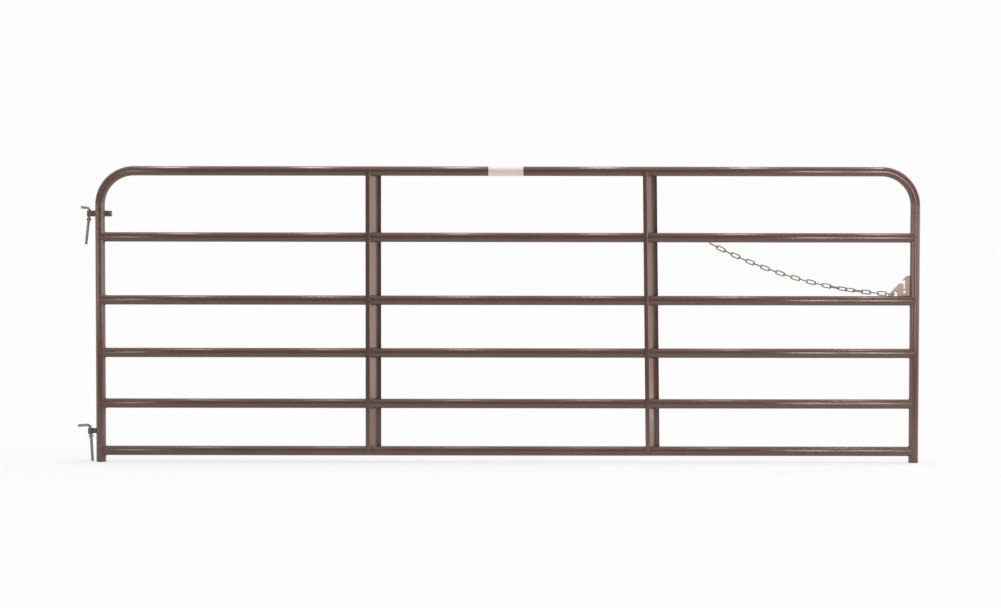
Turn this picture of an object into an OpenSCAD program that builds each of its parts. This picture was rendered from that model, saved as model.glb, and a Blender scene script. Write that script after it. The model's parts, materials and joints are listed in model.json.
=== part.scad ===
// Tubular steel field gate: one bent hoop, five straight rails, two Z-section braces,
// a bolted and a welded hinge eye with their hooks, and a chain on a latch plate.
// Millimetres. X runs along the gate from the hinges to the latch, Y from front to back, Z up.

/* [Gate] */
// Width of the gate over its two stiles
gate_w = 3536; // [2400:1:4800]
// Height of the gate from the ground to the top of the hoop
gate_h = 1270; // [1240:1:1500]
// Outside diameter of the hoop and rails
tube_d = 41.3; // [34:0.1:48]
// Wall of the hoop and rails
tube_wall = 1; // [0.8:0.1:3]
// Radius of the hoop's top corners, at the middle of the tube
bend_r = 146; // [100:1:180]

/* [Rails] */
// Height of the second rail's axis
rail_2_z = 966; // [930:1:990]
// Height of the third rail's axis
rail_3_z = 696; // [670:1:720]
// Height of the fourth rail's axis
rail_4_z = 470; // [440:1:500]
// Height of the fifth rail's axis
rail_5_z = 252; // [230:1:280]
// Height of the bottom rail's axis
bottom_rail_z = 48; // [40:1:70]
// Gap left for the weld between two pieces
weld_gap = 0.2; // [0.1:0.05:0.4]

/* [Braces] */
// Middle of the left brace, from the middle of the gate
left_brace_x = -576; // [-700:1:-400]
// Middle of the right brace, from the middle of the gate
right_brace_x = 617; // [400:1:700]
// Lean of the right brace in degrees, its top towards the hinges
right_brace_lean = 0.8; // [0:0.1:1.5]
// Width of each flange, up to the middle of its bend
brace_flange_w = 17; // [12:0.5:25]
// Run of the slanted web along the gate
brace_web_run = 30; // [20:1:45]
// Thickness of the sheet
brace_sheet = 2; // [1.5:0.1:3]
// Inside radius of the two bends
brace_bend_r = 2; // [1:0.5:4]
// Room round a rail where it passes through the web
rail_hole_gap = 0.8; // [0.4:0.1:2]

/* [Hinge eyes] */
// Distance from the stile's axis to the eye's axis
eye_offset = 46; // [40:0.5:60]
// Diameter of the eye's bore
eye_bore_d = 16; // [15:0.5:20]
// Height of the strap and of both eyes
strap_h = 25.4; // [20:0.1:32]
// Thickness of the strap
strap_t = 3; // [2:0.5:5]
// Slit between the two legs of a folded strap
strap_slit = 1.2; // [0.6:0.1:2]
// Radius of the strap's inside curves
strap_fillet_r = 4; // [2:0.5:6]
// Height of the bolted eye's middle
top_hinge_z = 1066; // [1020:1:1080]
// Height of the welded eye's middle
bottom_hinge_z = 131.5; // [120:0.5:160]
// Height of the welded eye's tail
tail_h = 22; // [18:0.5:25]
// Reach of the bolted tabs from the stile's axis
tab_reach = 51; // [48:0.5:70]
// Radius of the tabs' corners
tab_corner_r = 5; // [2:0.5:8]

/* [Hinge bolt] */
// Diameter of the bolt
bolt_d = 9.5; // [8:0.5:12]
// Distance from the stile's axis to the bolt's axis
bolt_x = 37.5; // [36:0.5:44]
// Diameter of the round head
bolt_head_d = 20; // [16:0.5:22]
// Height of the round head
bolt_head_h = 5.2; // [4:0.2:7]
// Nut across its flats
bolt_nut_af = 14.3; // [13:0.1:19]
// Height of the nut
bolt_nut_h = 8.3; // [6:0.1:10]
// Thread that stands past the nut
bolt_past_nut = 4; // [2:0.5:8]
// Room round the bolt in the tabs
bolt_gap = 0.3; // [0.1:0.05:0.6]

/* [Hooks] */
// Diameter of the rod
hook_d = 12; // [10:0.5:13]
// Diameter over the thread
hook_thread_d = 11.6; // [9:0.1:12]
// Reach of the short leg from the rod's axis
hook_leg = 52; // [45:1:70]
// Length of the long leg from the short leg's axis
hook_length = 156; // [140:1:175]
// Radius of the bend, at the middle of the rod
hook_bend_r = 15; // [12:0.5:18]
// Length of the taper at the tip
hook_tip_l = 4; // [2:0.5:8]
// Drop from the short leg's axis to the top of the nut
hook_nut_drop = 43; // [42:0.5:52]
// Nut across its flats
hook_nut_af = 18; // [16:0.5:22]
// Height of the nut
hook_nut_h = 10; // [6:0.5:12]
// Lean of the top hook out of upright, foot towards the post
top_hook_lean = 6.4; // [0:0.1:7]
// Turn of the top hook's short leg towards the back
top_hook_turn = 35; // [0:1:60]
// Lean of the bottom hook out of upright, foot towards the stile
bottom_hook_lean = 3.2; // [0:0.1:5]
// Least gap between a hook and its eye or the ground
hook_seat = 0.4; // [0.2:0.1:1]

/* [Latch plate] */
// Thickness of the plate
plate_t = 5; // [3:0.5:6]
// Height of the plate over the third rail's axis
plate_h = 109; // [100:1:130]
// Reach of the plate from the stile's axis
plate_reach = 113; // [112:1:120]
// Width of the plate's flat top, from the stile's axis
plate_top_reach = 34; // [30:1:38]
// Height of the plate's foot end over the third rail's axis
plate_foot_h = 25; // [23:0.5:30]
// Width of the slot that a link drops into
slot_w = 7; // [6:0.2:9]
// Distance from the stile's axis to the middle of the slot
slot_x = 44.5; // [42:0.5:48]
// Height of the slot's round bottom over the rail's axis
slot_bottom = 52; // [50:0.5:60]
// Height of the slot's mouth over the rail's axis, at its lower side
mouth_low = 75; // [72:0.5:77]
// Height of the lip's tip over the rail's axis
lip_tip = 86; // [84:0.5:87]
// Height of the lip's root over the rail's axis
lip_root = 89; // [88:0.5:92]
// Distance from the stile's axis to the middle of the round hole
plate_hole_x = 43.5; // [41:0.5:48]
// Diameter of the round hole under the slot
plate_hole_d = 11; // [8:0.5:12]
// Height of the round hole over the rail's axis
plate_hole_z = 38.5; // [34:0.5:40]
// Width of the arch that holds the first link
arch_w = 14; // [12:0.5:16]
// Height of the arch's crown over the rail's axis
arch_h = 39; // [36:0.5:42]
// Distance from the stile's axis to the far side of the arch
arch_reach = 89; // [86:0.5:90]

/* [Chain] */
// Number of links
link_count = 24; // [20:1:26]
// Diameter of the wire
link_wire = 5; // [4:0.1:5.5]
// Inside length of a link
link_in_l = 34.7; // [30:0.1:36]
// Inside width of a link
link_in_w = 10; // [9:0.1:11]
// Radius of a link's corners, at the middle of the wire
link_corner_r = 6; // [4:0.1:7]
// Gap between two links, and between the end link and the rail over it
link_play = 0.3; // [0.2:0.05:0.5]
// Gap between the first link and the far side of the plate's arch
arch_play = 0.8; // [0.7:0.1:1.5]
// Gap between the second link's middle and the rail under it
chain_rest_gap = 1.4; // [1.3:0.1:2.5]
// Length of chain between the first link's middle and the lowest point of the curve it hangs in
chain_lead = 80; // [40:5:120]
// Quarter turn of twist in the chain: the last link before it
twist_after = 4; // [2:1:8]
// Links that share the quarter turn
twist_links = 5; // [4:1:9]

/* [Label] */
// Length of the blank label
label_l = 150; // [100:1:200]
// Middle of the label, from the middle of the gate
label_x = -8; // [-100:1:100]
// Thickness of the label
label_t = 0.25; // [0.2:0.05:0.5]
// Angle that the label wraps round the top rail
label_wrap = 156; // [90:1:180]
// Gap between the label and the tube
label_gap = 0.05; // [0.02:0.01:0.1]

/* [Hidden] */
$fn = 64;

// Finishes
paint = [0.40, 0.31, 0.28];
plate_paint = [0.50, 0.41, 0.37];
zinc = [0.58, 0.61, 0.62];
chain_finish = [0.42, 0.36, 0.32];
label_white = [0.92, 0.91, 0.90];

// Whole tenths, so that pieces that meet do so exactly
function tenths(v) = ceil(v * 10) / 10;

// Places along the gate. The middle of the whole object, hooks included, is at X = 0.
tube_r = tube_d / 2;
stile_span = gate_w - tube_d;
hinge_reach = eye_offset + hook_leg;
gate_x = tenths((hinge_reach - tube_r) / 2);
left_x = gate_x - stile_span / 2;
right_x = gate_x + stile_span / 2;
eye_x = left_x - eye_offset;

// Heights
top_z = gate_h - tube_r;
bend_z = top_z - bend_r;
RAIL_HEIGHTS = [top_z, rail_2_z, rail_3_z, rail_4_z, rail_5_z, bottom_rail_z];

// Hinge straps
wrap_r = tube_r + weld_gap;
strap_half = strap_t + strap_slit / 2;
eye_r = eye_bore_d / 2 + strap_t;

// A hook hangs by its bend from the eye's rim, unless its foot stands on the ground first
hook_r = hook_d / 2;
bend_drop = sqrt(pow(hook_bend_r - hook_r, 2) - pow(hook_bend_r - eye_bore_d / 2, 2));
hanging_leg_z = tenths(strap_h / 2 - bend_drop + hook_bend_r + 2 * hook_seat);
standing_leg_z =
    tenths(hook_length - (bottom_hinge_z - 5 * hook_seat) / cos(bottom_hook_lean));
top_leg_z = hanging_leg_z;
bottom_leg_z = max(hanging_leg_z, standing_leg_z);

// Room for a leaning rod to lie against the side of its eye
function hook_shift(lean) =
    eye_bore_d / 2 - hook_r / cos(lean) - strap_h / 2 * tan(lean) - hook_seat;

// Links: sizes at the middle of the wire
link_mid_l = link_in_l + link_wire;
link_mid_w = link_in_w + link_wire;
link_step = link_in_l - link_play;

// The first link's end bar lies in the plate's arch, and the second link lies on the rail
first_link_x = right_x - arch_reach + link_wire / 2 + arch_play - link_mid_l / 2;
second_link_rise = tube_r + chain_rest_gap + (link_mid_w + link_wire) / 2;

// The chain hangs in a catenary from the arch up to the underside of the second rail.
// s is the length of chain from the curve's lowest point, and hang_a the curve's own length.
chain_end_s = chain_lead + (link_count - 1) * link_step + link_mid_l / 2;
chain_end_z = rail_2_z - tube_r - link_play - link_wire / 2;
second_link_s = chain_lead + link_step;
second_link_z = rail_3_z + second_link_rise;
chain_rise = chain_end_z - second_link_z;
end_reach =
    ((pow(chain_end_s, 2) - pow(second_link_s, 2)) / chain_rise + chain_rise) / 2;
hang_a = sqrt(pow(end_reach, 2) - pow(chain_end_s, 2));

function hang_x(s) = hang_a * ln(s / hang_a + sqrt(1 + pow(s / hang_a, 2)));
function hang_z(s) = sqrt(pow(hang_a, 2) + pow(s, 2));
function link_s(i) = chain_lead + (i - 1) * link_step;
function link_x(i) = first_link_x - hang_x(link_s(i)) + hang_x(chain_lead);
function link_z(i) = second_link_z + hang_z(link_s(i)) - hang_z(second_link_s);
function link_slope(i) = atan(link_s(i) / hang_a);
function twist_share(i) = max(0, min(1, (i - twist_after) / twist_links));
function link_roll(i) = 90 * (i % 2) + 90 * twist_share(i);
function link_name(i) = str("chain_link_", i < 10 ? "0" : "", i);

// Section of the hoop and rails
module tube_ring() {
    difference() {
        circle(r = tube_r);
        circle(r = tube_r - tube_wall);
    }
}

// Quarter bend of a round section, from +X up to +Z
module quarter_bend(r) {
    rotate([90, 0, 0])
        rotate_extrude(angle = 90)
            translate([r, 0])
                children();
}

// Both stiles and the top rail, bent from one tube
module frame_tube() {
    color(paint) {
        for (x = [left_x, right_x])
            translate([x, 0, 0])
                linear_extrude(bend_z)
                    tube_ring();
        translate([left_x + bend_r, 0, top_z])
            rotate([0, 90, 0])
                linear_extrude(stile_span - 2 * bend_r)
                    tube_ring();
        translate([right_x - bend_r, 0, bend_z])
            quarter_bend(bend_r)
                tube_ring();
        translate([left_x + bend_r, 0, bend_z])
            mirror([1, 0, 0])
                quarter_bend(bend_r)
                    tube_ring();
    }
}

// Straight rail with both ends saddle-cut to the stiles
module rail(z) {
    color(paint)
        difference() {
            translate([left_x, 0, z])
                rotate([0, 90, 0])
                    linear_extrude(stile_span)
                        tube_ring();
            for (x = [left_x, right_x])
                translate([x, 0, z - tube_d])
                    cylinder(r = wrap_r, h = 2 * tube_d);
        }
}

// Section of a brace: flange in front of the rails, slanted web, flange behind them
brace_y = wrap_r + brace_sheet / 2;
brace_turn = atan2(2 * brace_y, brace_web_run);
brace_mid_r = brace_bend_r + brace_sheet / 2;
brace_tangent = brace_mid_r * tan(brace_turn / 2);
BEND_STEPS = 6;

// Points along the middle of the sheet, each with the direction that the sheet runs in there
function brace_line() = concat(
    [[-brace_web_run / 2 - brace_flange_w, -brace_y, 0]],
    [for (k = [0:BEND_STEPS])
        let (turn = brace_turn * k / BEND_STEPS)
        [-brace_web_run / 2 - brace_tangent + brace_mid_r * sin(turn),
         -brace_y + brace_mid_r * (1 - cos(turn)), turn]],
    [for (k = [0:BEND_STEPS])
        let (turn = brace_turn * (1 - k / BEND_STEPS))
        [brace_web_run / 2 + brace_tangent - brace_mid_r * sin(turn),
         brace_y - brace_mid_r * (1 - cos(turn)), turn]],
    [[brace_web_run / 2 + brace_flange_w, brace_y, 0]]
);

function beside(p, side) =
    [p[0] - side * brace_sheet / 2 * sin(p[2]), p[1] + side * brace_sheet / 2 * cos(p[2])];

module brace_section() {
    line = brace_line();
    polygon(concat(
        [for (p = line) beside(p, -1)],
        [for (k = [len(line) - 1:-1:0]) beside(line[k], 1)]
    ));
}

// Room for one rail through the web, up to the inside of both flanges
module rail_passage(z) {
    passage_l = brace_web_run + 2 * brace_flange_w + gate_h * sin(right_brace_lean);
    translate([-passage_l / 2, 0, z])
        intersection() {
            rotate([0, 90, 0])
                cylinder(r = tube_r + rail_hole_gap, h = passage_l);
            translate([0, -wrap_r, -tube_d])
                cube([passage_l, 2 * wrap_r, 2 * tube_d]);
        }
}

// Brace that the rails pass through, from the bottom rail's axis to the top rail's
module brace(x, lean) {
    color(paint)
        translate([gate_x + x, 0, 0])
            difference() {
                translate([0, 0, (bottom_rail_z + top_z) / 2])
                    rotate([0, -lean, 0])
                        linear_extrude(top_z - bottom_rail_z, center = true)
                            brace_section();
                for (z = RAIL_HEIGHTS)
                    rail_passage(z);
            }
}

// Inside curves on both sides of a flat bar that leaves a round of radius r along +X
module root_fillets(r) {
    up = strap_half + strap_fillet_r;
    along = sqrt(pow(r + strap_fillet_r, 2) - pow(up, 2));
    touch = r / (r + strap_fillet_r);
    for (side = [0, 1])
        mirror([0, side, 0])
            difference() {
                polygon([[0, 0], [along, 0], [along, strap_half], [along * touch, up * touch]]);
                translate([along, up])
                    circle(r = strap_fillet_r);
            }
}

// Rolled eye with two leaves of strap that run from it to the stile
module eye_section() {
    difference() {
        union() {
            circle(r = eye_r);
            translate([0, -strap_half])
                square([eye_offset, 2 * strap_half]);
            root_fillets(eye_r);
        }
        circle(d = eye_bore_d);
        translate([0, -strap_slit / 2])
            square([eye_offset, strap_slit]);
        translate([eye_offset, 0])
            circle(r = wrap_r);
    }
}

// Strap folded round the eye and the stile, with its two ends side by side
module strap_section() {
    difference() {
        union() {
            circle(r = wrap_r + strap_t);
            translate([0, -strap_half])
                square([tab_reach, 2 * strap_half]);
            root_fillets(wrap_r + strap_t);
            mirror([1, 0, 0])
                root_fillets(wrap_r + strap_t);
        }
        circle(r = wrap_r);
        translate([-eye_offset, -strap_slit / 2])
            square([eye_offset + tab_reach, strap_slit]);
        translate([-eye_offset, 0])
            circle(d = eye_bore_d);
    }
    translate([-eye_offset, 0])
        eye_section();
}

// Front view of the strap, with round corners on the tabs
module strap_front() {
    left = -eye_offset - eye_r;
    straight = tab_reach - tab_corner_r;
    translate([left, -strap_h / 2])
        square([straight - left, strap_h]);
    translate([left, tab_corner_r - strap_h / 2])
        square([tab_reach - left, strap_h - 2 * tab_corner_r]);
    for (side = [-1, 1])
        translate([straight, side * (strap_h / 2 - tab_corner_r)])
            circle(r = tab_corner_r);
}

module top_hinge_strap() {
    color(paint)
        translate([left_x, 0, top_hinge_z])
            difference() {
                intersection() {
                    translate([0, 0, -strap_h / 2])
                        linear_extrude(strap_h)
                            strap_section();
                    translate([0, tube_d, 0])
                        rotate([90, 0, 0])
                            linear_extrude(2 * tube_d)
                                strap_front();
                }
                translate([bolt_x, tube_d, 0])
                    rotate([90, 0, 0])
                        cylinder(d = bolt_d + 2 * bolt_gap, h = 2 * tube_d);
            }
}

// Round-headed bolt through the two tabs, head to the front
module top_hinge_bolt() {
    head_r = (pow(bolt_head_d / 2, 2) + pow(bolt_head_h, 2)) / (2 * bolt_head_h);
    grip = 2 * strap_half + bolt_nut_h + bolt_past_nut;
    color(paint)
        translate([left_x + bolt_x, -strap_half, top_hinge_z])
            rotate([90, 0, 0]) {
                rotate_extrude()
                    intersection() {
                        translate([0, bolt_head_h - head_r])
                            circle(r = head_r);
                        square([bolt_head_d / 2, bolt_head_h]);
                    }
                translate([0, 0, -grip])
                    cylinder(d = bolt_d, h = grip);
            }
}

// Six-sided nut round a rod along +Z, with its lower face at Z = 0
module hex_nut(af, h, rod_d) {
    difference() {
        cylinder(d = af / cos(30), h = h, $fn = 6);
        translate([0, 0, -h / 2])
            cylinder(d = rod_d + weld_gap, h = 2 * h);
    }
}

module top_hinge_nut() {
    color(paint)
        translate([left_x + bolt_x, strap_half, top_hinge_z])
            rotate([-90, 0, 0])
                hex_nut(bolt_nut_af, bolt_nut_h, bolt_d);
}

// Eye with a shorter tail, welded to the stile
module bottom_hinge_eye() {
    color(paint)
        translate([eye_x, 0, bottom_hinge_z]) {
            translate([0, 0, strap_h / 2 - tail_h])
                linear_extrude(tail_h)
                    eye_section();
            translate([0, 0, -strap_h / 2])
                linear_extrude(strap_h)
                    intersection() {
                        eye_section();
                        circle(r = eye_r);
                    }
        }
}

// Moves a hook into its eye: lean is positive with the foot away from the stile
module in_eye(z, lean, turn) {
    translate([eye_x + hook_shift(abs(lean)), 0, z])
        rotate([0, lean, 0])
            rotate([0, 0, -turn])
                children();
}

// Rod bent square, with a short leg along -X and a threaded long leg down
module hook(leg_z) {
    bend_start = leg_z - hook_bend_r;
    foot = leg_z - hook_length;
    thread_top = leg_z - hook_nut_drop - hook_nut_h;
    thread_r = hook_thread_d / 2;
    color(zinc) {
        rotate_extrude()
            polygon([
                [0, foot], [thread_r * 0.7, foot], [thread_r, foot + hook_tip_l],
                [thread_r, thread_top], [hook_r, thread_top], [hook_r, bend_start],
                [0, bend_start]
            ]);
        translate([-hook_bend_r, 0, bend_start])
            quarter_bend(hook_bend_r)
                circle(r = hook_r);
        translate([-hook_leg, 0, leg_z])
            rotate([0, 90, 0])
                cylinder(r = hook_r, h = hook_leg - hook_bend_r);
    }
}

module hook_nut(leg_z) {
    color(zinc)
        translate([0, 0, leg_z - hook_nut_drop - hook_nut_h])
            hex_nut(hook_nut_af, hook_nut_h, hook_d);
}

// Outline of the latch plate, measured from the stile's axis to the left and up from the rail's
module plate_outline() {
    slot_near = slot_x - slot_w / 2;
    slot_far = slot_x + slot_w / 2;
    slot_end_r = slot_w / 2;
    arch_x = arch_reach - arch_w / 2;
    difference() {
        polygon([
            [wrap_r, wrap_r], [wrap_r, plate_h], [plate_top_reach, plate_h],
            [plate_reach, plate_foot_h], [plate_reach, wrap_r]
        ]);
        // Slot, with a round bottom and a mouth under the lip
        translate([slot_near, slot_bottom + slot_end_r])
            square([slot_w, mouth_low - slot_bottom]);
        translate([slot_x, slot_bottom + slot_end_r])
            circle(r = slot_end_r);
        polygon([
            [slot_near, mouth_low - slot_end_r], [slot_near, lip_root],
            [slot_far + slot_w, lip_tip], [plate_reach, lip_tip],
            [plate_reach, mouth_low], [slot_far + slot_end_r, mouth_low],
            [slot_far, mouth_low - slot_end_r]
        ]);
        translate([plate_hole_x, plate_hole_z])
            circle(d = plate_hole_d);
        // Arch over the rail
        translate([arch_x - arch_w / 2, 0])
            square([arch_w, arch_h - arch_w / 2]);
        translate([arch_x, arch_h - arch_w / 2])
            circle(d = arch_w);
    }
}

module latch_plate() {
    color(plate_paint)
        translate([right_x, plate_t / 2, rail_3_z])
            rotate([90, 0, 0])
                linear_extrude(plate_t)
                    mirror([1, 0, 0])
                        plate_outline();
}

// One link in the XZ plane, with its length along X
module link_shape() {
    leg_l = link_mid_l - 2 * link_corner_r;
    bar_l = link_mid_w - 2 * link_corner_r;
    for (side = [0, 1]) {
        mirror([0, 0, side])
            translate([-leg_l / 2, 0, link_mid_w / 2])
                rotate([0, 90, 0])
                    cylinder(d = link_wire, h = leg_l);
        mirror([side, 0, 0])
            translate([link_mid_l / 2, 0, -bar_l / 2])
                cylinder(d = link_wire, h = bar_l);
        for (end = [0, 1])
            mirror([0, 0, side])
                mirror([end, 0, 0])
                    translate([leg_l / 2, 0, bar_l / 2])
                        quarter_bend(link_corner_r)
                            circle(d = link_wire);
    }
}

module chain_link(i) {
    color(chain_finish)
        translate([link_x(i), 0, link_z(i)])
            rotate([0, link_slope(i), 0])
                rotate([link_roll(i), 0, 0])
                    link_shape();
}

// Blank label round the front of the top rail
module label() {
    color(label_white)
        translate([gate_x + label_x, 0, top_z])
            rotate([0, 90, 0])
                rotate([0, 0, -90 - label_wrap / 2])
                    rotate_extrude(angle = label_wrap)
                        translate([tube_r + label_gap, -label_l / 2])
                            square([label_t, label_l]);
}

frame_tube();
rail(rail_2_z);  // rail_2
rail(rail_3_z);  // rail_3
rail(rail_4_z);  // rail_4
rail(rail_5_z);  // rail_5
rail(bottom_rail_z);  // bottom_rail
brace(left_brace_x, 0);  // brace_left
brace(right_brace_x, right_brace_lean);  // brace_right
top_hinge_strap();
top_hinge_bolt();
top_hinge_nut();
bottom_hinge_eye();
in_eye(top_hinge_z, top_hook_lean, top_hook_turn) hook(top_leg_z);  // top_hook
in_eye(top_hinge_z, top_hook_lean, top_hook_turn) hook_nut(top_leg_z);  // top_hook_nut
in_eye(bottom_hinge_z, -bottom_hook_lean, 0) hook(bottom_leg_z);  // bottom_hook
in_eye(bottom_hinge_z, -bottom_hook_lean, 0) hook_nut(bottom_leg_z);  // bottom_hook_nut
latch_plate();
label();
for (i = [1:link_count])
    chain_link(i);
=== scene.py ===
import json
import math

import bmesh
import bpy
from mathutils import Matrix, Vector


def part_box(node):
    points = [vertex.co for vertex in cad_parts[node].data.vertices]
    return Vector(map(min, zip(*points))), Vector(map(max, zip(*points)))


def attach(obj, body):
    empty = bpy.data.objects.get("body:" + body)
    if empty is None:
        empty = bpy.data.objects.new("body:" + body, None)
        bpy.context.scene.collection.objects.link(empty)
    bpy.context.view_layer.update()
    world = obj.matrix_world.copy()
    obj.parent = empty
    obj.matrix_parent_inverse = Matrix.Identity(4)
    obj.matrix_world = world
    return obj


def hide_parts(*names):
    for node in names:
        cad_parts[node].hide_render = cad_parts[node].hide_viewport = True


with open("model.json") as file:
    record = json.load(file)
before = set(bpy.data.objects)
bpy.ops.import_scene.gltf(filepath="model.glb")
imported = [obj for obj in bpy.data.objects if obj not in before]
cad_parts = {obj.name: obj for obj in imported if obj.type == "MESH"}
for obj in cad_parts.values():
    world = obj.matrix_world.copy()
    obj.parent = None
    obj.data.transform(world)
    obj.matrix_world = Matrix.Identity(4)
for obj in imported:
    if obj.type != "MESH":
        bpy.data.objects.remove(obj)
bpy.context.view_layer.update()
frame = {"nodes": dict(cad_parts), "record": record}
NODES = frame["nodes"]
MOUNTS = {m["name"]: m for m in frame["record"]["mounts"]}
scene = bpy.context.scene
scene.view_settings.view_transform = "Standard"

# Sizes of the gate, in metres, and the leans of its braces, in degrees
TUBE_R = 0.02065
RAILS = ["rail_2", "rail_3", "rail_4", "rail_5", "bottom_rail"]
BRACE_LEAN = {"brace_left": 0.0, "brace_right": 0.8}
WEB_RUN = 0.030
WEB_DEPTH = 0.0437
WEB_FACE = 0.0016
PLATE_T = 0.005
PLATE_FOOT = 0.0725
STRAP_HALF = 0.0036
EYE_TAIL = 0.022
LINKS = sorted(n for n in NODES if n.startswith("chain_link_"))
LINK_MID_W = 0.015

# Weld beads, in metres: the radius of each kind, how proud they sit and the gap between ripples
RAIL_BEAD = 0.0021
BRACE_BEAD = 0.0026
PLATE_BEAD = 0.0017
EYE_BEAD = 0.0017
TAIL_BEAD = 0.0014
PROUD = 0.0004
EYE_PROUD = 0.0003
RIPPLE_GAP = 0.0022
TAIL_RIPPLE_GAP = 0.0014

# The parts of a rail's round that are welded to a brace's web, in degrees
OVER_ARC = (38, 142)
UNDER_ARC = (218, 322)

# Where the latch plate's beads start and stop, in metres from its corner and from its top
PLATE_CORNER_UP = 0.004
PLATE_CORNER_IN = 0.003
PLATE_TOP_GAP = 0.006

# Threads and nuts of the hooks and of the bolt, in metres, and the nuts' turns, in degrees
HOOK_PITCH = 0.0020
HOOK_RIDGE = 0.00035
HOOK_NUT_FLATS = 0.018
HOOK_NUT_H = 0.010
HOOK_NUT_TURN = {"top_hook": -35, "bottom_hook": 0}
BOLT_PITCH = 0.0016
BOLT_CORE_R = 0.00475
BOLT_CREST_R = 0.00505
BOLT_NUT_FLATS = 0.0143
BOLT_NUT_H = 0.0083
BOLT_OVERLAP = 0.001


def middle(name):
    low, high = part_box(name)
    return (low + high) / 2


def high_corner(name):
    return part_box(name)[1]


hoop_low, hoop_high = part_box("frame_tube")
LEFT_X = hoop_low.x + TUBE_R
RIGHT_X = hoop_high.x - TUBE_R
TOP_Z = hoop_high.z - TUBE_R
GATE_X = (LEFT_X + RIGHT_X) / 2


# Shader sockets that take part in Python expressions

class Sock:
    """A node's output, with arithmetic that adds Math nodes."""

    def __init__(self, tree, socket):
        self.tree = tree
        self.socket = socket

    def math(self, operation, *others):
        values = {i + 1: v for i, v in enumerate(others)}
        return node(self.tree, "ShaderNodeMath", {"operation": operation}, {0: self, **values})

    def __add__(self, other):
        return self.math("ADD", other)

    def __sub__(self, other):
        return self.math("SUBTRACT", other)

    def __rsub__(self, other):
        return node(self.tree, "ShaderNodeMath", {"operation": "SUBTRACT"}, {0: other, 1: self})

    def __mul__(self, other):
        return self.math("MULTIPLY", other)

    def __truediv__(self, other):
        return self.math("DIVIDE", other)

    def __rtruediv__(self, other):
        return node(self.tree, "ShaderNodeMath", {"operation": "DIVIDE"}, {0: other, 1: self})

    __radd__ = __add__
    __rmul__ = __mul__

    def step(self, low, high):
        """0 below low and 1 above high, with a smooth rise between them."""
        return node(self.tree, "ShaderNodeMapRange", {"interpolation_type": "SMOOTHSTEP"},
                    {"Value": self, "From Min": low, "From Max": high}, "Result")


def node(tree, kind, settings=None, inputs=None, out=0):
    """Adds one node. Settings come first, then the values or links of its sockets."""
    made = tree.nodes.new(kind)
    for name, value in (settings or {}).items():
        setattr(made, name, value)
    for key, value in (inputs or {}).items():
        if isinstance(value, Sock):
            tree.links.new(value.socket, made.inputs[key])
        else:
            made.inputs[key].default_value = value
    return Sock(tree, made.outputs[out])


def mixed(tree, factor, a, b):
    """Colour a where factor is 0 and colour b where it is 1."""
    return node(tree, "ShaderNodeMix", {"data_type": "RGBA"}, {0: factor, 6: a, 7: b}, 2)


def blended(tree, factor, a, b):
    """Shader a where factor is 0 and shader b where it is 1."""
    return node(tree, "ShaderNodeMixShader", None, {0: factor, 1: a, 2: b})


def placed(tree, scale=(1, 1, 1)):
    """Object coordinates, stretched by scale."""
    coords = node(tree, "ShaderNodeTexCoord", None, None, "Object")
    return node(tree, "ShaderNodeMapping", None, {"Vector": coords, "Scale": scale})


def axis_of(tree, vector, axis):
    """One number of a vector: 0 for X, 1 for Y and 2 for Z."""
    return node(tree, "ShaderNodeSeparateXYZ", None, {0: vector}, axis)


def cloud(tree, where, scale, detail=3.0, rough=0.55):
    return node(tree, "ShaderNodeTexNoise", None,
                {"Vector": where, "Scale": scale, "Detail": detail, "Roughness": rough})


def relief(tree, strength, distance, height):
    """A surface normal with small bumps."""
    return node(tree, "ShaderNodeBump", None,
                {"Strength": strength, "Distance": distance, "Height": height})


def finish_of(name):
    """A new material with its tree and its Principled shader."""
    made = bpy.data.materials.new(name)
    made.use_nodes = True
    return made, made.node_tree, made.node_tree.nodes["Principled BSDF"]


def feed(tree, shader, **sockets):
    """Links or sets the shader's sockets, named with underscores for spaces."""
    for key, value in sockets.items():
        key = key.replace("_", " ")
        if isinstance(value, Sock):
            tree.links.new(value.socket, shader.inputs[key])
        else:
            shader.inputs[key].default_value = value


def bare_tree(made):
    """The emptied node tree of a material or a world."""
    made.use_nodes = True
    made.node_tree.nodes.clear()
    return made.node_tree


def show_on(tree, output, shader):
    """Ends a tree in its output node, which shows shader."""
    end = tree.nodes.new(output)
    tree.links.new(shader.socket, end.inputs["Surface"])


def rgb(r, g, b):
    return (r, g, b, 1.0)


# Finishes

def powder_coat(name, deep, light, dust, gloss, sheen):
    """Glossy powder coat: fine orange peel, faint mottling, dust on top and near the ground."""
    made, tree, shader = finish_of(name)
    here = placed(tree)
    broad = cloud(tree, here, 5.0, 4.0)
    small = cloud(tree, here, 70.0, 3.0)
    peel = cloud(tree, here, 650.0, 2.0)
    grit = cloud(tree, here, 240.0, 2.0, 0.7).step(0.66, 0.74)
    rubs = cloud(tree, placed(tree, (5, 120, 120)), 1.6, 3.0).step(0.66, 0.76)
    facing = node(tree, "ShaderNodeNewGeometry", None, None, "Normal")
    splash = (1 - axis_of(tree, here, 2).step(0.0, 0.34)) * broad.step(0.35, 0.7)
    settled = axis_of(tree, facing, 2).step(0.55, 1.0) * small.step(0.3, 0.75)
    dusty = (splash * 0.10 + settled * 0.05 + rubs * 0.06).math("MINIMUM", 1.0)
    colour = mixed(tree, broad * 0.6 + small * 0.4, deep, light)
    colour = mixed(tree, dusty, colour, dust)
    colour = mixed(tree, grit * 0.18, colour, rgb(0.02, 0.014, 0.012))
    feed(tree, shader, Base_Color=colour, Roughness=gloss + dusty * 0.5 + small * 0.06,
         Normal=relief(tree, 0.05, 0.0005, peel * 0.6 + small * 0.4),
         Coat_Weight=0.06 - dusty * 0.2)
    feed(tree, shader, Specular_Tint=sheen, Specular_IOR_Level=0.6, Coat_Roughness=0.08)
    return made


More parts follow.
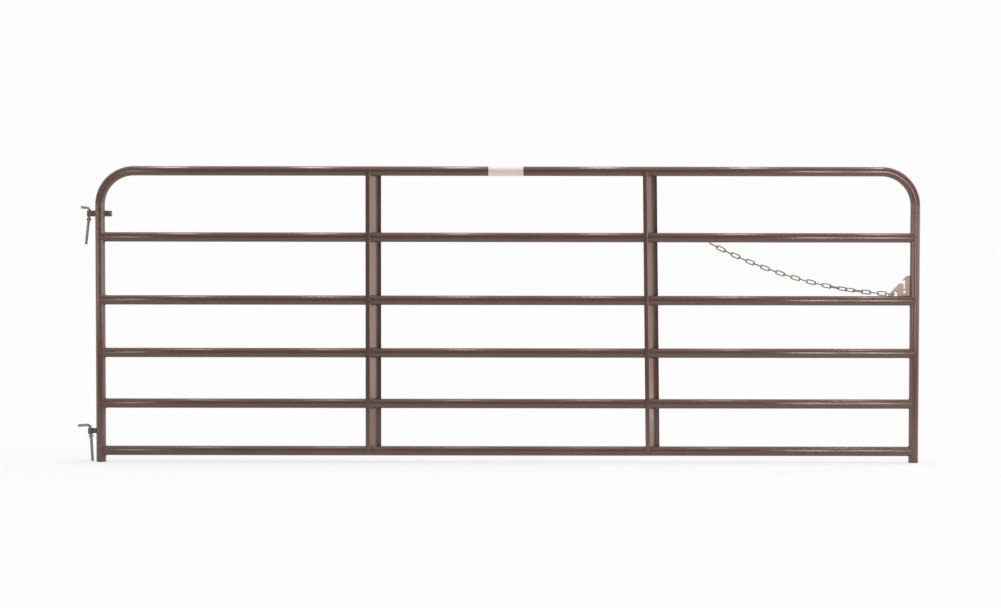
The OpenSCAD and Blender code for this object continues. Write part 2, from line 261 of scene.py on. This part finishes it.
def zinc_plate():
    """Dull zinc on steel, with faint spangle and brown in the pits."""
    made, tree, shader = finish_of("dull_zinc")
    here = placed(tree)
    spangle = node(tree, "ShaderNodeTexVoronoi", None, {"Vector": here, "Scale": 420.0}, "Color")
    grain = node(tree, "ShaderNodeSeparateColor", None, {0: spangle})
    broad = cloud(tree, here, 60.0, 4.0)
    fine = cloud(tree, here, 900.0, 2.0)
    tarnish = cloud(tree, here, 34.0, 5.0, 0.65).step(0.55, 0.72)
    colour = mixed(tree, grain * 0.5 + broad * 0.5, rgb(0.17, 0.18, 0.183), rgb(0.34, 0.355, 0.36))
    colour = mixed(tree, tarnish * 0.35, colour, rgb(0.16, 0.12, 0.085))
    feed(tree, shader, Base_Color=colour, Metallic=0.92 - tarnish * 0.4,
         Roughness=0.36 + tarnish * 0.25 + broad * 0.12,
         Normal=relief(tree, 0.18, 0.0004, fine * 0.5 + grain * 0.5))
    return made


def chain_wire():
    """Bronze-brown plated wire, rubbed bright on the high spots."""
    made, tree, shader = finish_of("plated_wire")
    here = placed(tree)
    broad = cloud(tree, here, 45.0, 4.0)
    fine = cloud(tree, here, 700.0, 2.0)
    rubbed = cloud(tree, here, 130.0, 3.0, 0.6).step(0.52, 0.7)
    rust = cloud(tree, here, 80.0, 5.0, 0.7).step(0.58, 0.72)
    colour = mixed(tree, broad, rgb(0.18, 0.130, 0.097), rgb(0.32, 0.252, 0.197))
    colour = mixed(tree, rubbed * 0.45, colour, rgb(0.57, 0.505, 0.425))
    colour = mixed(tree, rust * 0.4, colour, rgb(0.12, 0.06, 0.03))
    feed(tree, shader, Base_Color=colour, Metallic=0.8 - rust * 0.5,
         Roughness=0.38 + rust * 0.3 - rubbed * 0.08,
         Normal=relief(tree, 0.2, 0.0003, fine * 0.6 + broad * 0.4))
    return made


def label_film():
    """Blank film: off-white, slightly soiled, with a thin clear coat."""
    made, tree, shader = finish_of("label_film")
    soil = cloud(tree, placed(tree), 40.0, 4.0).step(0.45, 0.8)
    fibre = cloud(tree, placed(tree, (40, 300, 300)), 3.0, 2.0)
    colour = mixed(tree, fibre * 0.5, rgb(0.61, 0.515, 0.49), rgb(0.69, 0.60, 0.57))
    colour = mixed(tree, soil * 0.25, colour, rgb(0.42, 0.35, 0.32))
    feed(tree, shader, Base_Color=colour, Roughness=0.32 + soil * 0.25,
         Normal=relief(tree, 0.06, 0.0003, fibre), Coat_Weight=0.25 - soil * 0.15)
    feed(tree, shader, Coat_Roughness=0.1)
    return made


BROWN = powder_coat("brown_coat", deep=rgb(0.082, 0.047, 0.038), light=rgb(0.112, 0.064, 0.052),
                    dust=rgb(0.24, 0.19, 0.16), gloss=0.12, sheen=rgb(1.0, 0.82, 0.75))
# The latch plate's coat is the brown coat made about three times lighter and less glossy. The
# lighter colour is painted light: it stands in for the light the plate catches.
PAINTED_LIT_PLATE_COAT = powder_coat("plate_coat_painted_lit", deep=rgb(0.278, 0.203, 0.163), light=rgb(0.352, 0.260, 0.207),
                    dust=rgb(0.42, 0.345, 0.285), gloss=0.36, sheen=rgb(1.0, 0.9, 0.85))
ZINC = zinc_plate()
WIRE = chain_wire()
LABEL = label_film()

for name, obj in NODES.items():
    coat = BROWN
    if name.startswith("chain_link_"):
        coat = WIRE
    elif "hook" in name:
        coat = ZINC
    # The plate gets the lighter coat, which is painted light.
    elif name == "latch_plate":
        coat = PAINTED_LIT_PLATE_COAT
    elif name == "label":
        coat = LABEL
    obj.data.materials.clear()
    obj.data.materials.append(coat)


# Pieces made here

def shown(name, shape, coat, body, smooth=40):
    """A finished piece from a bmesh: closed, faced outwards, riding on its body."""
    bmesh.ops.remove_doubles(shape, verts=shape.verts, dist=1e-6)
    bmesh.ops.recalc_face_normals(shape, faces=shape.faces)
    for face in shape.faces:
        face.smooth = True
    for edge in shape.edges:
        edge.smooth = edge.calc_face_angle(0.0) < math.radians(smooth)
    mesh = bpy.data.meshes.new(name)
    shape.to_mesh(mesh)
    shape.free()
    mesh.materials.append(coat)
    obj = bpy.data.objects.new(name, mesh)
    scene.collection.objects.link(obj)
    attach(obj, body)
    return obj


def upright(pos, axis, turn=0.0):
    """Moves a shape from the Z axis onto axis at pos, turned round it first."""
    swing = Vector((0, 0, 1)).rotation_difference(Vector(axis)).to_matrix().to_4x4()
    return Matrix.Translation(Vector(pos)) @ swing @ Matrix.Rotation(math.radians(turn), 4, "Z")


def thread(core_r, crest_r, pitch, length, matrix):
    """A rolled thread: one three-sided ridge wound round the Z axis from 0 up to length."""
    root_r = core_r - 0.0002
    flank = 0.42 * pitch
    steps_a_turn = 20
    turns = length / pitch - 1
    steps = int(turns * steps_a_turn)
    shape = bmesh.new()
    ridge = [(root_r, -flank), (crest_r, 0.0), (root_r, flank)]
    verts = [shape.verts.new((r, 0, z + pitch / 2)) for r, z in ridge]
    shape.faces.new(verts)
    bmesh.ops.spin(shape, geom=shape.verts[:] + shape.edges[:] + shape.faces[:], cent=(0, 0, 0),
                   axis=(0, 0, 1), dvec=(0, 0, turns * pitch / steps), steps=steps,
                   angle=2 * math.pi * turns)
    bmesh.ops.holes_fill(shape, edges=shape.edges, sides=3)
    bmesh.ops.transform(shape, matrix=matrix, verts=shape.verts)
    return shape


def hex_nut(flats, height, matrix):
    """A six-sided nut with softened rims and corners, centred on the origin."""
    shape = bmesh.new()
    radius = flats / 2 / math.cos(math.radians(30))
    rim_round = height * 0.11
    corner_round = 0.0004
    bmesh.ops.create_cone(shape, cap_ends=True, segments=6, radius1=radius, radius2=radius,
                          depth=height)
    rims = [e for e in shape.edges if abs(e.verts[0].co.z - e.verts[1].co.z) < 1e-6]
    bmesh.ops.bevel(shape, geom=rims, offset=rim_round, affect="EDGES", segments=3,
                    profile=0.5, material=-1)
    corners = [e for e in shape.edges if abs(e.verts[0].co.z - e.verts[1].co.z) > height * 0.5]
    bmesh.ops.bevel(shape, geom=corners, offset=corner_round, affect="EDGES", segments=2,
                    profile=0.5, material=-1)
    bmesh.ops.transform(shape, matrix=matrix, verts=shape.verts)
    return shape


def collar(matrix):
    """The upset ring that the butt weld leaves on one leg of a link."""
    shape = bmesh.new()
    sides = 14
    profile = [(0.0023, -0.0026), (0.00262, -0.0018), (0.00285, -0.0008), (0.00272, 0.0),
               (0.00287, 0.0009), (0.0026, 0.0019), (0.0023, 0.0026)]
    verts = [shape.verts.new((r, 0, z)) for r, z in profile]
    for a, b in zip(verts, verts[1:]):
        shape.edges.new((a, b))
    bmesh.ops.spin(shape, geom=shape.verts[:] + shape.edges[:], cent=(0, 0, 0), axis=(0, 0, 1),
                   steps=sides, angle=2 * math.pi, use_merge=True)
    bmesh.ops.remove_doubles(shape, verts=shape.verts, dist=1e-6)
    bmesh.ops.holes_fill(shape, edges=shape.edges, sides=sides)
    bmesh.ops.transform(shape, matrix=matrix, verts=shape.verts)
    return shape


def beads(name, paths):
    """Painted weld beads: a rippled round run along each path of (points, radius, closed)."""
    ripple = 0.13
    points_a_ripple = 3.0
    end_share = 0.55
    end_growth = 0.2
    line = bpy.data.curves.new(name, "CURVE")
    line.dimensions = "3D"
    line.bevel_depth = 1.0
    line.bevel_resolution = 2
    line.use_fill_caps = True
    for points, radius, closed in paths:
        run = line.splines.new("POLY")
        run.points.add(len(points) - 1)
        run.use_cyclic_u = closed
        for k, (at, point) in enumerate(zip(points, run.points)):
            from_end = min(k, len(points) - 1 - k)
            taper = 1.0 if closed else min(1.0, end_share + end_growth * from_end)
            point.co = (*at, 1.0)
            swell = 1.0 + ripple * math.cos(2 * math.pi * k / points_a_ripple)
            point.radius = radius * taper * swell
    holder = bpy.data.objects.new(name + "_line", line)
    scene.collection.objects.link(holder)
    depsgraph = bpy.context.evaluated_depsgraph_get()
    mesh = bpy.data.meshes.new_from_object(holder.evaluated_get(depsgraph))
    bpy.data.objects.remove(holder)
    shape = bmesh.new()
    shape.from_mesh(mesh)
    bpy.data.meshes.remove(mesh)
    shown(name, shape, BROWN, "gate", smooth=60)


def along(a, b, gap=RIPPLE_GAP):
    """Points from a to b, a bead's ripple apart."""
    a, b = Vector(a), Vector(b)
    count = max(4, int((b - a).length / gap))
    return [a.lerp(b, k / count) for k in range(count + 1)]


def tube_face(off):
    """How far a tube's face is from its axis, at a distance off its middle plane."""
    return math.sqrt(TUBE_R ** 2 - off ** 2)


def rail_end(x, way, z):
    """The saddle curve where a rail meets a stile."""
    points = 72
    least = 0.0022
    loop = []
    for k in range(points):
        turn = 2 * math.pi * k / points
        reach = max(TUBE_R * abs(math.sin(turn)), least)
        loop.append((x + way * reach, TUBE_R * math.cos(turn), z + TUBE_R * math.sin(turn)))
    return loop


def web_arc(x, z, start, end):
    """An arc round a rail, from start to end in degrees, on a brace's slanted web."""
    parts = 18
    arc = []
    for k in range(parts + 1):
        turn = math.radians(start + (end - start) * k / parts)
        y = TUBE_R * math.cos(turn)
        web_x = x + y * WEB_RUN / WEB_DEPTH + WEB_FACE
        arc.append((web_x, y, z + (TUBE_R + PROUD) * math.sin(turn)))
    return arc


# Beads where the rails meet the stiles
rail_beads = []
for rail in RAILS:
    for x, way in ((LEFT_X, 1), (RIGHT_X, -1)):
        rail_beads.append((rail_end(x, way, middle(rail).z), RAIL_BEAD, True))
beads("rail_welds", rail_beads)

# Beads where a rail passes through a brace's web, over and under it, but none past the brace's ends
brace_beads = []
heights = [middle(r).z for r in RAILS] + [TOP_Z]
for brace, lean in BRACE_LEAN.items():
    centre = middle(brace)
    for z in heights:
        x = centre.x - (z - centre.z) * math.tan(math.radians(lean))
        if z != max(heights):
            brace_beads.append((web_arc(x, z, *OVER_ARC), BRACE_BEAD, False))
        if z != min(heights):
            brace_beads.append((web_arc(x, z, *UNDER_ARC), BRACE_BEAD, False))
beads("brace_welds", brace_beads)

# Beads of the latch plate, on both of its faces, up the stile and along the rail
rail_3 = middle("rail_3").z
plate_top = high_corner("latch_plate").z
plate_beads = []
for side in (-1, 1):
    y = side * (PLATE_T / 2 + PROUD)
    crown = rail_3 + tube_face(y)
    edge = RIGHT_X - tube_face(y)
    up_stile = along((edge, y, crown + PLATE_CORNER_UP), (edge, y, plate_top - PLATE_TOP_GAP))
    on_rail = along((edge - PLATE_CORNER_IN, y, crown), (RIGHT_X - PLATE_FOOT, y, crown))
    plate_beads.append((up_stile, PLATE_BEAD, False))
    plate_beads.append((on_rail, PLATE_BEAD, False))
beads("plate_welds", plate_beads)

# Beads round the tail of the welded hinge eye: down both sides, then across its ends
tail_x = LEFT_X - TUBE_R
tail_top = high_corner("bottom_hinge_eye").z
tail_foot = tail_top - EYE_TAIL
eye_beads = []
for side in (-1, 1):
    y = side * (STRAP_HALF + EYE_PROUD)
    x = LEFT_X - tube_face(y)
    eye_beads.append((along((x, y, tail_foot), (x, y, tail_top)), EYE_BEAD, False))
for z in (tail_foot, tail_top):
    across = along((tail_x, -STRAP_HALF, z), (tail_x, STRAP_HALF, z), TAIL_RIPPLE_GAP)
    eye_beads.append((across, TAIL_BEAD, False))
beads("eye_welds", eye_beads)

# Threads and nuts of the two hooks
for hook, turn in HOOK_NUT_TURN.items():
    pin = MOUNTS[hook + "_shank"]
    axis = Vector(pin["axis"])
    length = pin["dims"]["length_mm"] / 1000
    core = pin["dims"]["r_mm"] / 1000
    foot = Vector(pin["pos_m"]) + axis * (length / 2)
    ridge = thread(core, core + HOOK_RIDGE, HOOK_PITCH, length, upright(foot, -axis))
    shown(hook + "_thread", ridge, ZINC, hook, smooth=30)
    seat = upright(middle(hook + "_nut"), -axis, turn)
    nut = shown(hook + "_hex", hex_nut(HOOK_NUT_FLATS, HOOK_NUT_H, seat), ZINC, hook)
    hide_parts(hook + "_nut")

# Thread and nut of the bolt through the strap's tabs
bolt = middle("top_hinge_bolt")
bolt_end = high_corner("top_hinge_bolt").y
bare_end = bolt_end - high_corner("top_hinge_nut").y + BOLT_OVERLAP
ridge = thread(BOLT_CORE_R, BOLT_CREST_R, BOLT_PITCH, bare_end,
               upright((bolt.x, bolt_end, bolt.z), (0, -1, 0)))
shown("bolt_thread", ridge, BROWN, "gate", smooth=30)
seat = upright(middle("top_hinge_nut"), (0, 1, 0))
nut = shown("bolt_hex", hex_nut(BOLT_NUT_FLATS, BOLT_NUT_H, seat), BROWN, "gate")
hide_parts("top_hinge_nut")


def farthest(offsets):
    """The way to the outermost points on one side."""
    tip = max(offsets, key=lambda d: d.length)
    near = [d for d in offsets if d.length > 0.985 * tip.length and d.dot(tip) > 0]
    return sum(near, Vector()).normalized()


# The butt weld on the lower leg of each link of the chain
for link in LINKS:
    here = middle(link)
    offsets = [v.co - here for v in NODES[link].data.vertices]
    run = farthest(offsets)
    across = farthest([d - run * d.dot(run) for d in offsets])
    if across.z > 0:
        across = -across
    seam = upright(here + across * (LINK_MID_W / 2), run)
    shown(link + "_weld", collar(seam), WIRE, link, smooth=60)


# Studio: pale floor, white surround with a dark front, and soft lamps

PAPER = 0.985
DIM_FLOOR = 0.10
DARK_FRONT = 0.08
WALL_GLOW = 1.7
LOW_WALL_GLOW = 1.3
PANEL_GLOW = 1.3
HIGH_END_LOSS = 0.6
REAR_LOSS = 0.3
FLOOR_HALF = 14.0
BRACE_X = middle("brace_left").x


def ray(tree, kind):
    return node(tree, "ShaderNodeLightPath", None, None, "Is %s Ray" % kind)


def mirrored(tree):
    """1 for what gloss and glass see."""
    return ray(tree, "Glossy").math("MAXIMUM", ray(tree, "Transmission"))


def in_panel(along_y, along_x):
    """1 inside the bright panel, right and to the rear, that lights up the left brace's web."""
    bearing = along_y / along_x.math("MAXIMUM", 0.1)
    return bearing.step(0.17, 0.22) * (1 - bearing.step(0.36, 0.41))


def glowing(tree, strength):
    return node(tree, "ShaderNodeEmission", None, {"Color": rgb(1, 1, 1), "Strength": strength})


def matt(tree, grey):
    return node(tree, "ShaderNodeBsdfDiffuse", None, {"Color": rgb(grey, grey, grey)})


def pale_floor():
    """White to the camera and, as far as the paper reaches, in gloss, and pale to all else."""
    made = bpy.data.materials.new("pale_floor")
    tree = bare_tree(made)
    here = placed(tree)
    side = axis_of(tree, here, 0)
    depth = axis_of(tree, here, 1)
    away = depth.math("ABSOLUTE").math("MAXIMUM", side.math("ABSOLUTE") - 1.8)
    share = 0.66 + away.step(0.0, 0.14) * 0.18 + away.step(0.15, 1.3) * 0.16
    seen = blended(tree, share, matt(tree, 0.6), glowing(tree, PAPER))
    paper = blended(tree, (0 - depth).step(1.8, 3.2), seen, glowing(tree, DIM_FLOOR))
    panel = in_panel(depth, side - BRACE_X) * side.step(1.5, 3.0)
    in_gloss = blended(tree, panel, paper, glowing(tree, PAPER + PANEL_GLOW))
    unseen = blended(tree, mirrored(tree), matt(tree, 0.795), in_gloss)
    both = blended(tree, ray(tree, "Camera"), unseen, seen)
    show_on(tree, "ShaderNodeOutputMaterial", both)
    return made


def surround():
    """White to the camera. Gloss also sees a dark front, low bright walls and the panel."""
    made = bpy.data.worlds.new("studio")
    tree = bare_tree(made)
    look = node(tree, "ShaderNodeTexCoord", None, None, "Generated")
    look_x = axis_of(tree, look, 0)
    look_y = axis_of(tree, look, 1)
    look_z = axis_of(tree, look, 2)
    sideways = look_x.math("ABSOLUTE")
    gloss = mirrored(tree)
    not_rear = 1 - look_y.step(0.10, 0.30)
    tall_walls = sideways.step(0.74, 0.86) * not_rear * (1 - look_z.step(0.4, 0.8))
    low_band = look_z.step(-0.055, -0.04) * (1 - look_z.step(0.022, 0.045))
    low_sides = sideways.step(0.42, 0.54) * (1 - sideways.step(0.95, 0.98))
    low_walls = low_sides * not_rear * low_band * gloss
    front = (0 - look_y).step(0.50, 0.74) * (1 - low_walls)
    walls = tall_walls.math("MAXIMUM", low_walls) * WALL_GLOW
    ends = low_walls * sideways.step(0.70, 0.86) * LOW_WALL_GLOW
    lit = 1.0 + walls + ends - look_y.step(0.3, 0.8) * REAR_LOSS
    level = lit * (1 - front) + front * DARK_FRONT
    sky = node(tree, "ShaderNodeBackground", None, {"Color": rgb(1, 1, 1), "Strength": level})
    high_ends = sideways.step(0.80, 0.95) * look_z.step(0.045, 0.08)
    panel = in_panel(look_y, look_x) * (1 - look_z.math("ABSOLUTE").step(0.08, 0.12))
    bright = PAPER + gloss * (panel * PANEL_GLOW - high_ends * HIGH_END_LOSS)
    white = node(tree, "ShaderNodeBackground", None, {"Color": rgb(1, 1, 1), "Strength": bright})
    plain = gloss * (1 - front.math("MAXIMUM", low_walls))
    both = blended(tree, ray(tree, "Camera").math("MAXIMUM", plain), sky, white)
    show_on(tree, "ShaderNodeOutputWorld", both)
    return made


floor_shape = bmesh.new()
bmesh.ops.create_grid(floor_shape, x_segments=4, y_segments=4, size=FLOOR_HALF)
floor_mesh = bpy.data.meshes.new("floor")
floor_shape.to_mesh(floor_mesh)
floor_shape.free()
floor_mesh.materials.append(pale_floor())
floor = bpy.data.objects.new("floor", floor_mesh)
scene.collection.objects.link(floor)

scene.world = surround()


def lamp(name, place, target, size, glow, in_gloss=True):
    """A soft rectangular lamp. Glow is the brightness of its face, which may show in gloss."""
    data = bpy.data.lights.new(name, "AREA")
    data.shape = "RECTANGLE"
    data.size, data.size_y = size
    data.energy = math.pi * size[0] * size[1] * glow
    obj = bpy.data.objects.new(name, data)
    obj.location = place
    if target:
        obj.rotation_euler = (Vector(target) - Vector(place)).to_track_quat("-Z", "Y").to_euler()
    obj.visible_camera = False
    obj.visible_glossy = in_gloss
    scene.collection.objects.link(obj)


# Lamps: strips overhead and in front, which show in gloss, and two from behind, which don't
OVER_COUNT = 6
OVER_FIRST_X = -1.85
OVER_GAP = 0.81
OVER_Z = 3.5
OVER_SIZE = (0.15, 1.7)
OVER_GLOW = 13.0
FRONT_X_AND_WIDTH = ((-2.14, 0.11), (1.83, 0.23), (2.20, 0.24))
FRONT_Y = -2.5
FRONT_Z = 1.05
FRONT_H = 1.4
FRONT_GLOW = 10.0
BACK_X_AND_GLOW = {"back_left": (-10.7, 20.0), "back_right": (10.7, 190.0)}
BACK_Y = 5.4
BACK_Z = 1.9
BACK_SIZE = (1.0, 3.2)
BACK_AIM = (0, 0, 0.7)

for k in range(OVER_COUNT):
    place = (OVER_FIRST_X + OVER_GAP * k, 0.0, OVER_Z)
    lamp("over_%d" % (k + 1), place, None, OVER_SIZE, OVER_GLOW)
for k, (x, width) in enumerate(FRONT_X_AND_WIDTH):
    lamp("front_%d" % (k + 1), (x, FRONT_Y, FRONT_Z), (x, 0, FRONT_Z), (width, FRONT_H), FRONT_GLOW)
for name, (x, glow) in BACK_X_AND_GLOW.items():
    lamp(name, (x, BACK_Y, BACK_Z), BACK_AIM, BACK_SIZE, glow, in_gloss=False)

# Camera: its distance and aim in metres, the picture's scale and width, and its tilt in degrees
DISTANCE = 7.25
MM_PER_PIXEL = 4.2937
PICTURE_W = 1001
SENSOR_W = 36.0
PITCH = 1.65
ROLL = 0.08
AIM_LEFT = 0.0302
AIM_Z = 0.6804

optics = bpy.data.cameras.new("camera")
optics.sensor_width = SENSOR_W
optics.lens = SENSOR_W * DISTANCE * 1000 / MM_PER_PIXEL / PICTURE_W
optics.clip_end = 100
camera = bpy.data.objects.new("camera", optics)
tilt = math.radians(PITCH)
aim = Vector((GATE_X - AIM_LEFT, 0.0, AIM_Z))
camera.location = aim + Vector((0, -math.cos(tilt), math.sin(tilt))) * DISTANCE
pitched = Matrix.Rotation(math.radians(90 - PITCH), 3, "X")
rolled = Matrix.Rotation(math.radians(ROLL), 3, "Z")
camera.rotation_euler = (pitched @ rolled).to_euler()
scene.collection.objects.link(camera)
scene.camera = camera
